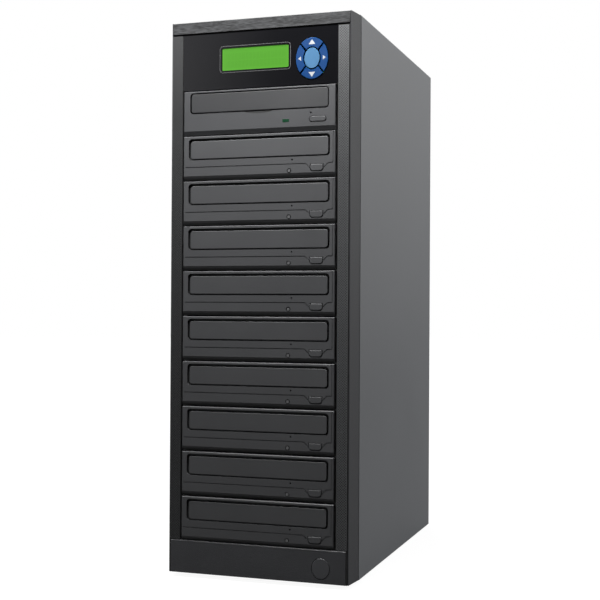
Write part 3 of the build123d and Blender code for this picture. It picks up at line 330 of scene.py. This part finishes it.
def powder_coat(name, tone, roughness=0.42):
    """Powder coat on sheet steel: a fine orange peel, tiny darker specks and edges painted a little lighter,
    a painted highlight.
    """
    finish = Finish(name)
    speck = finish.noise(2600, 0.0)
    cloud = finish.noise(9, 3.0)
    body = finish.mix(scaled(tone, 0.93), scaled(tone, 1.07), cloud)
    body = finish.mix(body, scaled(tone, 0.72), ((speck - 0.60) * 9).clamped() * 0.5)
    # Painted highlight: slanted edges are painted lighter.
    finish.set("Base Color", finish.mix(body, scaled(tone, 1.5), finish.edges() * 0.3))
    finish.set("Roughness", roughness + cloud * 0.08)
    finish.relief(finish.noise(900, 2.0) + speck * 0.4, 0.00004)
    return finish.material


def grained_strip(name, tone):
    """The top strip: short dark scratches over long level waves, as on brushed stock."""
    finish = Finish(name, Specular_IOR_Level=0.1)
    scratches = finish.noise(1000, 2.0, (0.18, 1, 1))
    waves = finish.noise(260, 2.0, (0.12, 1, 1))
    shade = scratches * 0.7 + waves * 0.3
    body = finish.mix(scaled(tone, 0.35), scaled(tone, 1.65), ((shade - 0.5) * 5.0 + 0.5).clamped())
    # Painted highlight: the strip's bevels are painted lighter.
    finish.set("Base Color", finish.mix(body, scaled(tone, 1.6), finish.edges() * 0.3))
    finish.set("Roughness", 0.5 + scratches * 0.2)
    finish.relief(shade, 0.00012)
    return finish.material


def sheet_metal(name, tone, along=(1, 1, 0.03), roughness=0.34):
    """Plated or bare sheet: fine rolling lines along one direction, and soft cloudy stains."""
    finish = Finish(name, Metallic=1.0)
    lines = finish.noise(1400, 2.0, along)
    cloud = finish.noise(24, 3.0)
    finish.set("Base Color", finish.mix(scaled(tone, 0.86), scaled(tone, 1.10), (cloud + lines) * 0.5))
    finish.set("Roughness", roughness - 0.08 + lines * 0.10 + cloud * 0.10)
    finish.relief(lines, 0.00002, 0.6)
    return finish.material


def plated(name, tone, roughness=0.16):
    """Nickel plate on screws and wire: bright, with fine turning marks."""
    finish = Finish(name, Metallic=1.0)
    marks = finish.noise(3000, 1.0, (1, 0.1, 1))
    finish.set("Base Color", finish.mix(scaled(tone, 0.88), scaled(tone, 1.08), finish.noise(60, 2.0)))
    finish.set("Roughness", roughness + marks * 0.14)
    finish.relief(marks, 0.00001, 0.5)
    return finish.material


def rubber(name, tone):
    """Matt rubber with a chalky bloom."""
    finish = Finish(name, Specular_IOR_Level=0.3)
    bloom = finish.noise(140, 3.0)
    finish.set("Base Color", finish.mix(scaled(tone, 0.8), scaled(tone, 1.7), bloom * bloom))
    finish.set("Roughness", 0.74 + bloom * 0.18)
    finish.relief(finish.noise(2400, 2.0), 0.00005)
    return finish.material


def circuit_board(name, tone):
    """A green board: paler tracks under the mask, and dark parts standing on its face."""
    finish = Finish(name)
    tracks = finish.node(
        "ShaderNodeTexBrick",
        {"offset": 0.37},
        {
            "Vector": finish.place, "Scale": 210.0, "Mortar Size": 0.05,
            "Color1": (0, 0, 0), "Color2": (0, 0, 0), "Mortar": (1, 1, 1),
        },
    )
    weave = finish.noise(800, 1.0)
    body = finish.mix(scaled(tone, 0.85), scaled(tone, 1.15), weave)
    body = finish.mix(body, scaled(tone, 1.9), tracks)
    board = 1.65 * MM
    lying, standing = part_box("controller_board")[0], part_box("key_board")[1]
    upright = finish.y < standing.y + board
    before = (finish.y < standing.y - board) * upright
    above = (finish.z > lying.z + board) * (1 - upright)
    finish.set("Base Color", finish.mix(body, (0.012, 0.012, 0.014), before + above))
    finish.set("Roughness", 0.34 + weave * 0.2)
    finish.relief(weave, 0.00003, 0.5)
    return finish.material


def display_field(name, tone, sizes):
    """A lit character display: a green field with faint cells, a paler rim and a dark body behind."""
    finish = Finish(name, Specular_IOR_Level=0.5, Emission_Strength=0.55)
    centre, half_width, half_height = display_window(sizes)
    across = finish.x - centre.x
    upward = finish.z - centre.z
    cell_width, cell_height = 3.6 * MM, 7.4 * MM
    column_gap, row_gap = 0.35 * MM, 0.6 * MM
    end_margin = 4.0 * MM
    upright_rim, level_rim = 1.4 * MM, 1.2 * MM
    column = (across + PATTERN_START) % cell_width
    row = (upward + PATTERN_START) % cell_height
    cell = column.within(column_gap, cell_width - column_gap) * row.within(row_gap, cell_height - row_gap)
    inside = (abs(across) < half_width - end_margin) * (abs(upward) < cell_height)
    rim = (abs(across) > half_width - upright_rim).most(abs(upward) > half_height - level_rim)
    glow = finish.noise(30, 2.0)
    lit = finish.mix(scaled(tone, 0.95), scaled(tone, 1.05), glow)
    lit = finish.mix(lit, scaled(tone, 0.92), cell * inside * 0.5)
    lit = finish.mix(lit, scaled(tone, 1.25), rim * 0.4)
    panel_depth = 3.0 * MM
    front = finish.y < centre.y + panel_depth
    finish.set("Base Color", finish.mix((0.012, 0.012, 0.013), finish.mix((0, 0, 0), lit, 0.2), front))
    finish.set("Emission Color", finish.mix((0, 0, 0), lit, front))
    finish.set("Roughness", 0.16 + glow * 0.06)
    return finish.material


def light_pipe(name, reader_floor):
    """Clear smoked pipes at the writers, and a dim green one at the reader."""
    finish = Finish(name, Coat_Weight=0.5, Coat_Roughness=0.05, Emission_Strength=0.1)
    haze = finish.noise(700, 2.0)
    at_reader = finish.z > reader_floor
    smoked = finish.mix((0.090, 0.091, 0.094), (0.150, 0.151, 0.154), haze)
    green = finish.mix((0.004, 0.026, 0.012), (0.008, 0.044, 0.020), haze)
    finish.set("Base Color", finish.mix(smoked, green, at_reader))
    finish.set("Emission Color", finish.mix((0, 0, 0), (0.0, 0.10, 0.03), at_reader))
    finish.set("Roughness", 0.12 + haze * 0.1)
    return finish.material


def inlet_shell(name, tone):
    """Black moulding whose three blades are bright metal."""
    finish = Finish(name)
    low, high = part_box("mains_inlet")
    across = abs(finish.x - (low.x + high.x) / 2)
    upward = finish.z - (low.z + high.z) / 2
    blade_off, half_blade, blade_height, slack = 7.0 * MM, 1.0 * MM, 4.0 * MM, 0.02 * MM
    shell_floor = 1.9 * MM
    reach = half_blade + slack
    outer = across.within(blade_off - reach, blade_off + reach) * upward.within(-blade_height - slack, slack)
    earth = (across < reach) * upward.within(-slack, blade_height + slack)
    blade = outer.most(earth) * (finish.y < high.y - shell_floor)
    body = finish.mix(scaled(tone, 0.85), scaled(tone, 1.25), finish.noise(50, 3.0))
    finish.set("Base Color", finish.mix(body, (0.62, 0.56, 0.42), blade))
    finish.set("Metallic", blade)
    finish.set("Roughness", 0.45 - blade * 0.2)
    finish.relief(finish.cells(1700), 0.00004)
    return finish.material


def braided(name, tone):
    """A sleeved lead: a fine diagonal braid."""
    finish = Finish(name)
    pitch = 1.2 * MM
    rising = (finish.y + finish.z + PATTERN_START) % pitch > pitch / 2
    falling = (finish.y - finish.z + PATTERN_START) % pitch > pitch / 2
    strand = (rising + falling) * 0.5
    finish.set("Base Color", finish.mix(scaled(tone, 0.7), scaled(tone, 1.3), strand))
    finish.set("Roughness", 0.5 + finish.noise(500) * 0.2)
    finish.relief(strand, 0.00008)
    return finish.material


def make_finishes(colours, sizes):
    """Every material slot of the record and its finish."""
    key_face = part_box("key_centre")[0].y
    # Depths behind which the bar, the power button and the writers are painted darker: painted shade in
    # their gaps.
    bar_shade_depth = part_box("bottom_bar")[0].y + 0.5 * MM
    reader_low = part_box("reader_bezel")[0]
    drive_shade_depth = reader_low.y + 0.9 * MM
    return {
        "frame_plastic": moulded("frame plastic", colours.frame, roughness=0.54, Specular_IOR_Level=0.25),
        # The strip behind the mesh is painted at 0.16 of the mesh's tone: painted shade in the holes.
        "mesh_plastic": moulded("mesh backing", scaled(colours.mesh, 0.16), roughness=0.6),
        "strip_plastic": grained_strip("top strip", colours.strip),
        "bar_plastic": moulded(
            "bar plastic", colours.bar, roughness=0.40, depth=0.0001, mottle=0.22, shade_from=bar_shade_depth
        ),
        "panel_gloss": polished("panel gloss", colours.panel, 0.05),
        "display_glass": display_field("display", colours.display, sizes),
        "key_blue": key_cap("key blue", colours.key, key_face),
        "key_light": key_cap("key light", colours.centre_key, key_face),
        "power_plastic": moulded(
            "power button", scaled(colours.bar, 1.3), roughness=0.38, edge_highlight=0.1, shade_from=bar_shade_depth
        ),
        "drive_plastic": moulded("writer plastic", colours.writer, shade_from=drive_shade_depth),
        # The reader is painted darker behind its face in the scoop and gaps, but not on its chin: painted
        # shade.
        "reader_plastic": moulded(
            "reader plastic", colours.reader,
            shade_from=reader_low.y + 0.3 * MM, shade_above=reader_low.z + 4.5 * MM,
        ),
        "lens_clear": light_pipe("light pipe", reader_low.z),
        "cover_paint": powder_coat("cover paint", colours.cover),
        "sheet_steel": sheet_metal("zinc sheet", colours.steel),
        "shell_steel": sheet_metal("drive shell", scaled(colours.steel, 0.9), (1, 0.03, 1)),
        "screw_steel": plated("screw plate", (0.60, 0.605, 0.61)),
        "foot_rubber": rubber("foot rubber", (0.02, 0.02, 0.02)),
        "deck_plastic": moulded("deck plastic", DARK, roughness=0.5),
        "optics_metal": sheet_metal("die casting", (0.48, 0.49, 0.50), (1, 1, 1), 0.5),
        "board_green": circuit_board("board", (0.020, 0.130, 0.060)),
        "cable_red": braided("red lead", (0.35, 0.02, 0.02)),
        "cable_black": braided("black lead", DARK),
        "psu_steel": powder_coat("supply paint", (0.22, 0.225, 0.23), 0.38),
        "inlet_plastic": inlet_shell("inlet", DARK),
        # The rocker's edges get a paler painted highlight.
        "rocker_plastic": polished("rocker", DARK, 0.18, scaled(DARK, 2.5)),
        "fan_plastic": moulded("fan plastic", DARK, roughness=0.4),
        "guard_wire": plated("guard wire", (0.62, 0.625, 0.63), 0.12),
    }


# ---------------------------------------------------------------- mesh tools


def add_piece(name, shape, body, material):
    """Turns a finished bmesh into a piece that rides on a body of the frame."""
    mesh = bpy.data.meshes.new(name)
    bmesh.ops.recalc_face_normals(shape, faces=shape.faces)
    shape.to_mesh(mesh)
    shape.free()
    mesh.materials.append(material)
    piece = bpy.data.objects.new(name, mesh)
    bpy.context.scene.collection.objects.link(piece)
    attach(piece, body)
    return piece


def front_matrix(place, width=1.0, height=1.0, turn=0.0):
    """Carries a flat shape from the ground to the front at a place: it faces -Y, sized, then turned."""
    upright = Matrix.Rotation(pi / 2, 4, "X") @ Matrix.Rotation(turn, 4, "Z")
    return Matrix.Translation(place) @ upright @ Matrix.Diagonal((width, height, 1, 1))


def raise_faces(shape, relief):
    """Gives the flat faces a body towards the front."""
    raised = bmesh.ops.extrude_face_region(shape, geom=shape.faces[:])
    corners = [part for part in raised["geom"] if isinstance(part, bmesh.types.BMVert)]
    bmesh.ops.translate(shape, verts=corners, vec=(0, -relief, 0))


def round_corners(shape, radius, segments):
    """Rounds every corner of a flat shape."""
    bmesh.ops.bevel(
        shape, geom=shape.verts[:], offset=radius, offset_type="OFFSET", affect="VERTICES",
        segments=segments, profile=0.5, material=-1,
    )


def diamond_mesh(low, high, columns, rise, wire, relief):
    """A flat lattice of diamond holes between two corners, with its back on the strip."""
    shape = bmesh.new()
    rows = round((high.z - low.z) / rise)
    place = front_matrix((low + high) / 2, high.x - low.x, high.z - low.z)
    bmesh.ops.create_grid(shape, x_segments=columns, y_segments=rows, size=0.5, matrix=place)
    grid_lines = list(shape.edges)
    bmesh.ops.poke(shape, faces=shape.faces)
    inner_lines = [line for line in grid_lines if len(line.link_faces) == 2]
    bmesh.ops.dissolve_edges(shape, edges=inner_lines, use_verts=False)
    holes = list(shape.faces)
    bmesh.ops.inset_individual(shape, faces=holes, thickness=wire / 2, use_even_offset=True)
    bmesh.ops.delete(shape, geom=holes, context="FACES")
    bmesh.ops.remove_doubles(shape, verts=shape.verts, dist=wire / 20)
    raise_faces(shape, relief)
    return shape


def display_window(sizes):
    """The middle of the display's window in the panel's face, and half its width and height."""
    low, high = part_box("display_module")
    centre = (low + high) / 2
    centre.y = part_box("control_panel")[0].y
    return centre, (high.x - low.x) / 2 - sizes.module_border, (high.z - low.z) / 2 - sizes.module_border


# ---------------------------------------------------------------- operators


class DUPLICATOR_OT_finishes(bpy.types.Operator):
    """Give every solid of the frame the finish of its material slot"""

    bl_idname = "duplicator.finishes"
    bl_label = "Finish the Solids"

    def execute(self, context):
        finishes = make_finishes(context.scene.duplicator_colours, context.scene.duplicator_sizes)
        for part in frame["record"]["subparts"]:
            node = frame["nodes"][part["node"]]
            node.data.materials.clear()
            node.data.materials.append(finishes[part["material_slot"]])
        return {"FINISHED"}


class DUPLICATOR_OT_side_mesh(bpy.types.Operator):
    """Lay a lattice of diamond holes over both side strips"""

    bl_idname = "duplicator.side_mesh"
    bl_label = "Add the Side Mesh"

    def execute(self, context):
        sizes = context.scene.duplicator_sizes
        tone = context.scene.duplicator_colours.mesh
        margin = 0.4 * MM
        left_painted_shade = 0.4  # The left strip's wires are painted darker: painted shade.
        low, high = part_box("mesh_strips")
        panel_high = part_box("control_panel")[1]
        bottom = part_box("bottom_bar")[1].z + 2 * margin
        top = panel_high.z - margin
        inner = panel_high.x + 2 * margin
        outer = high.x - margin
        for side, left, right, shade in (("left", -outer, -inner, left_painted_shade), ("right", inner, outer, 1.0)):
            shape = diamond_mesh(
                Vector((left, low.y, bottom)), Vector((right, low.y, top)),
                sizes.mesh_columns, sizes.mesh_rise, sizes.mesh_wire, sizes.mesh_relief,
            )
            # Each side gets its own copy of the wires' finish, the left one painted darker as painted shade.
            wires = moulded(f"mesh wires {side}", scaled(tone, shade), roughness=0.42, mottle=0.15)
            add_piece(f"side_mesh_{side}", shape, "tower", wires)
        return {"FINISHED"}


class DUPLICATOR_OT_display_outline(bpy.types.Operator):
    """Draw the raised grey line round the display's window"""

    bl_idname = "duplicator.display_outline"
    bl_label = "Add the Display Outline"

    def execute(self, context):
        sizes = context.scene.duplicator_sizes
        centre, half_width, half_height = display_window(sizes)
        border = sizes.outline_margin + sizes.outline_width
        shape = bmesh.new()
        place = front_matrix(centre, 2 * (half_width + border), 2 * (half_height + border))
        bmesh.ops.create_grid(shape, x_segments=1, y_segments=1, size=0.5, matrix=place)
        round_corners(shape, sizes.outline_corner, 8)
        window = list(shape.faces)
        bmesh.ops.inset_region(
            shape, faces=window, thickness=sizes.outline_width, use_boundary=True, use_even_offset=True
        )
        bmesh.ops.delete(shape, geom=window, context="FACES")
        raise_faces(shape, sizes.outline_relief)
        grey = context.scene.duplicator_colours.outline
        line = moulded("outline grey", grey, roughness=0.35, grain=3000, edge_highlight=0.1)
        add_piece("display_outline", shape, "tower", line)
        return {"FINISHED"}


class DUPLICATOR_OT_key_arrows(bpy.types.Operator):
    """Print a plain pale arrow on each of the four outer keys"""

    bl_idname = "duplicator.key_arrows"
    bl_label = "Add the Key Arrows"

    def execute(self, context):
        sizes = context.scene.duplicator_sizes
        pale = polished("arrow print", context.scene.duplicator_colours.arrow, 0.3)
        centre_low, centre_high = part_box("key_centre")
        centre = (centre_low + centre_high) / 2
        side_share = 0.62
        for key, across, upward, share in (
            ("key_up", 0, 1, 1.0),
            ("key_down", 0, -1, 1.0),
            ("key_left", -1, 0, side_share),
            ("key_right", 1, 0, side_share),
        ):
            low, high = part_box(key)
            outer_x = high.x if across > 0 else low.x
            inner_x = centre_high.x if across > 0 else centre_low.x
            outer_z = high.z if upward > 0 else low.z
            inner_z = centre_high.z if upward > 0 else centre_low.z
            place = Vector((
                (outer_x + inner_x) / 2 if across else centre.x,
                low.y,
                (outer_z + inner_z) / 2 if upward else centre.z,
            ))
            shape = bmesh.new()
            # A circle of three segments has its tip at +Y, is 1.5 radii tall and sqrt(3) radii wide.
            bmesh.ops.create_circle(
                shape, cap_ends=True, segments=3, radius=1.0,
                matrix=front_matrix(
                    place, sizes.arrow_width * share / sqrt(3), sizes.arrow_height * share / 1.5,
                    atan2(upward, across) - pi / 2,
                ),
            )
            round_corners(shape, sizes.arrow_corner, 3)
            raise_faces(shape, sizes.arrow_relief)
            add_piece("arrow_" + key[4:], shape, key, pale)
        return {"FINISHED"}


class DUPLICATOR_OT_studio(bpy.types.Operator):
    """Set up the pale floor, the soft lamps, the white room and the camera"""

    bl_idname = "duplicator.studio"
    bl_label = "Set Up the Studio"

    def execute(self, context):
        studio = context.scene.duplicator_studio
        self.floor(studio)
        self.room(context.scene, studio)
        for setting, place, target, size in LAMPS:
            self.lamp(setting.replace("_", " "), getattr(studio, setting), place, target, size)
        self.camera(context.scene, studio)
        context.scene.view_settings.view_transform = "Standard"
        return {"FINISHED"}

    def floor(self, studio):
        """White to the camera, with the tower's shadow near it, and dim in reflections and as a source."""
        near_white, mirror_white, source_tone = 0.85, 0.05, 0.1
        finish = Finish("floor")
        camera = finish.ray("Camera")
        shine = camera.most(finish.ray("Glossy").most(finish.ray("Transmission")) * mirror_white)
        cloud = finish.noise(3, 2.0)
        tone = finish.mix(scaled(studio.floor, 0.97), studio.floor, cloud)
        finish.set("Base Color", finish.mix(scaled(studio.floor, source_tone), tone, camera))
        finish.set("Roughness", 0.9)
        far = (abs(finish.x).most(abs(finish.y)) * 0.7 - 0.5).clamped()
        white = finish.node("ShaderNodeEmission", None, {"Color": (1, 1, 1), "Strength": 1.1})
        share = shine * (near_white + far * (1 - near_white))
        lit_floor = Signal(finish, finish.shader.outputs[0])
        blend = finish.node("ShaderNodeMixShader", None, {0: share, 1: lit_floor, 2: white})
        finish.feed(finish.tree.nodes["Material Output"].inputs["Surface"], blend)
        shape = bmesh.new()
        bmesh.ops.create_circle(shape, cap_ends=True, segments=96, radius=9.0)
        mesh = bpy.data.meshes.new("floor")
        shape.to_mesh(mesh)
        shape.free()
        mesh.materials.append(finish.material)
        piece = bpy.data.objects.new("floor", mesh)
        bpy.context.scene.collection.objects.link(piece)

    def room(self, scene, studio):
        """White to the camera; in reflections brightest behind the tower and high at the front left."""
        world = bpy.data.worlds.new("room")
        scene.world = world
        world.use_nodes = True
        room = Nodes(world.node_tree)
        camera = room.ray("Camera")
        mirror = room.ray("Glossy").most(room.ray("Transmission"))
        across, along, upward = room.split(room.node("ShaderNodeTexCoord", output="Generated"))
        behind = (along * 1.1 - across * 0.5 + 0.62).clamped() * (upward * 2.2 + 0.40).clamped()
        left_edge, edge_sharpness = -0.33, 12
        left = ((across - left_edge) * -edge_sharpness).clamped()
        left = left * (upward * 4 + 0.2).clamped() * (along < 0)
        brightest, darkest = 0.75, 0.02
        shine = (behind.most(left) * brightest + darkest) * mirror
        matt = (1 - mirror) * studio.ambient
        background = world.node_tree.nodes["Background"]
        room.feed(background.inputs["Strength"], camera + (1 - camera) * (shine + matt))
        background.inputs["Color"].default_value = (1, 1, 1, 1)

    def lamp(self, name, watts, place, target, size):
        """A square soft lamp that looks at a target."""
        data = bpy.data.lights.new(name, "AREA")
        data.energy = watts
        data.size = size
        lamp = bpy.data.objects.new(name, data)
        lamp.location = place
        lamp.rotation_euler = (Vector(target) - Vector(place)).to_track_quat("-Z", "Y").to_euler()
        lamp.visible_camera = False
        bpy.context.scene.collection.objects.link(lamp)

    def camera(self, scene, studio):
        """The photograph's viewpoint: right of the middle, about level with the tower's middle."""
        yaw, pitch, roll = studio.camera_yaw, studio.camera_pitch, studio.camera_roll
        ahead = Vector((-sin(yaw) * cos(pitch), cos(yaw) * cos(pitch), sin(pitch)))
        right = Vector((cos(yaw), sin(yaw), 0))
        upward = right.cross(ahead)
        across = cos(roll) * right + sin(roll) * upward
        upright = -sin(roll) * right + cos(roll) * upward
        data = bpy.data.cameras.new("camera")
        data.lens = studio.camera_lens
        data.sensor_width = 36
        camera = bpy.data.objects.new("camera", data)
        view = Matrix((across, upright, -ahead)).transposed().to_4x4()
        view.translation = studio.camera_place
        camera.matrix_world = view
        scene.collection.objects.link(camera)
        scene.camera = camera


class DUPLICATOR_PT_panel(bpy.types.Panel):
    """The tower's pieces, sizes and colours"""

    bl_idname = "DUPLICATOR_PT_panel"
    bl_label = "Disc Duplicator Tower"
    bl_space_type = "VIEW_3D"
    bl_region_type = "UI"
    bl_category = "Duplicator"

    def draw(self, context):
        for operator in OPERATORS:
            self.layout.operator(operator.bl_idname)
        for group in GROUPS:
            settings = getattr(context.scene, group)
            column = self.layout.column(align=True)
            for name in settings.__annotations__:
                column.prop(settings, name)


OPERATORS = (
    DUPLICATOR_OT_finishes,
    DUPLICATOR_OT_side_mesh,
    DUPLICATOR_OT_display_outline,
    DUPLICATOR_OT_key_arrows,
    DUPLICATOR_OT_studio,
)
GROUPS = {
    "duplicator_colours": DUPLICATOR_Colours,
    "duplicator_sizes": DUPLICATOR_Sizes,
    "duplicator_studio": DUPLICATOR_Studio,
}


def register():
    for kind in (*GROUPS.values(), *OPERATORS, DUPLICATOR_PT_panel):
        bpy.utils.register_class(kind)
    for name, group in GROUPS.items():
        setattr(bpy.types.Scene, name, PointerProperty(type=group))


def unregister():
    for name in GROUPS:
        delattr(bpy.types.Scene, name)
    for kind in (DUPLICATOR_PT_panel, *reversed(OPERATORS), *GROUPS.values()):
        bpy.utils.unregister_class(kind)


def main():
    register()
    bpy.ops.duplicator.finishes()
    bpy.ops.duplicator.side_mesh()
    bpy.ops.duplicator.display_outline()
    bpy.ops.duplicator.key_arrows()
    bpy.ops.duplicator.studio()


if __name__ == "__main__":
    main()
